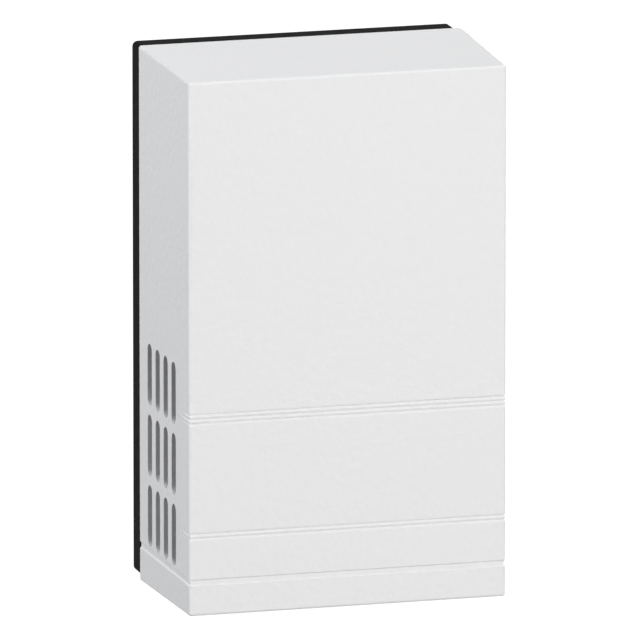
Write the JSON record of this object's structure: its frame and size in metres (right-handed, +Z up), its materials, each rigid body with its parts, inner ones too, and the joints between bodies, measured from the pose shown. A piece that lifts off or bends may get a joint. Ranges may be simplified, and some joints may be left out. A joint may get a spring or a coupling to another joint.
{
  "type": "doorbell chime box",
  "caption": "Wall-mounted ding-dong door chime: a grooved, slotted box cover on a tray base, with a sprung solenoid striker between rubber-hung tone plates.",
  "frame": {"origin": "middle of the base's flat back, on the wall", "axes": "+Y into the wall, so the front faces -Y; +Z up; +X to the right as seen from the room"},
  "size_m": [0.123, 0.0774, 0.2014],
  "materials": {
    "black_moulding": "satin moulded black styrene",
    "white_moulding": "fine-textured moulded white styrene",
    "zinc_plated_steel": "zinc-plated pressed steel",
    "screw_steel": "bright zinc-plated steel",
    "natural_nylon": "natural moulded nylon",
    "copper_winding": "enamelled copper winding",
    "coil_tape": "yellow polyester coil tape",
    "tinned_brass": "tinned brass",
    "plunger_steel": "turned soft iron, plated",
    "spring_steel": "drawn spring wire",
    "tone_steel": "plated, fine-brushed tone steel",
    "isolator_rubber": "soft black rubber",
    "terminal_nylon": "translucent white nylon",
    "terminal_brass": "turned brass",
    "lead_red": "red PVC insulation",
    "lead_black": "black PVC insulation"
  },
  "bodies": {
    "base": {"back_plate": "black_moulding", "solenoid_yoke": "zinc_plated_steel", "yoke_screws": "screw_steel", "coil_bobbin": "natural_nylon", "coil_winding": "copper_winding", "coil_tape": "coil_tape", "coil_tags": "tinned_brass", "return_spring": "spring_steel", "tone_plate_low": "tone_steel", "tone_plate_high": "tone_steel", "isolators_low": "isolator_rubber", "isolators_high": "isolator_rubber", "terminal_block": "terminal_nylon", "terminal_barrels": "terminal_brass", "terminal_screws": "screw_steel", "block_screw": "screw_steel", "lead_wire_left": "lead_red", "lead_wire_right": "lead_black"},
    "cover": {"front_cover": "white_moulding"},
    "striker": {"plunger_core": "plunger_steel", "striker_tip_low": "natural_nylon", "striker_tip_high": "natural_nylon"}
  },
  "joints": [
    {"name": "cover_release", "type": "slide", "parent": "base", "child": "cover", "axis": [0, -1, 0], "range_m": [0, 0.085]},
    {"name": "striker_stroke", "type": "slide", "parent": "base", "child": "striker", "axis": [1, 0, 0], "range_m": [-0.0028, 0.0078], "stiffness_N_per_m": 255, "deforming": ["return_spring"]}
  ]
}
